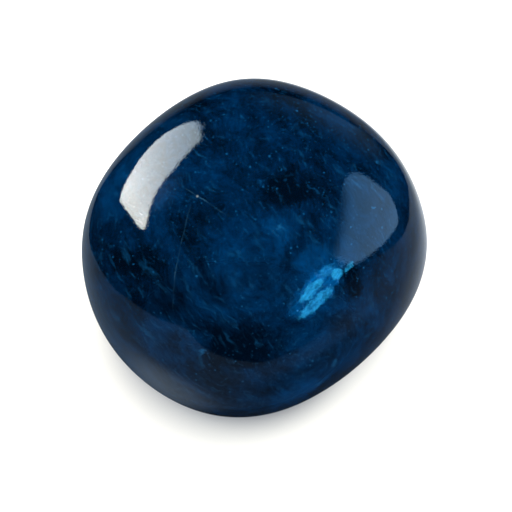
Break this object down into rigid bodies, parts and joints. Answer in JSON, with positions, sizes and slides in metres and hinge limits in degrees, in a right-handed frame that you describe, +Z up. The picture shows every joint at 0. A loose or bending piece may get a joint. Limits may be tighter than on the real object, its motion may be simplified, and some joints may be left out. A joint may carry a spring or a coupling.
{
  "type": "tumbled indigolite tourmaline",
  "caption": "Rounded, polished dark blue gemstone pebble that rests on a small worn flat underneath.",
  "frame": {"origin": "middle of the stone's footprint, on the surface it rests on", "axes": "+Z up, -Y towards the viewer of the picture, +X to the viewer's right"},
  "size_m": [0.0302, 0.0316, 0.0246],
  "materials": {
    "indigolite": "tumble polished, dark blue, translucent"
  },
  "bodies": {
    "root": {"indigolite_stone": "indigolite"}
  },
  "joints": []
}
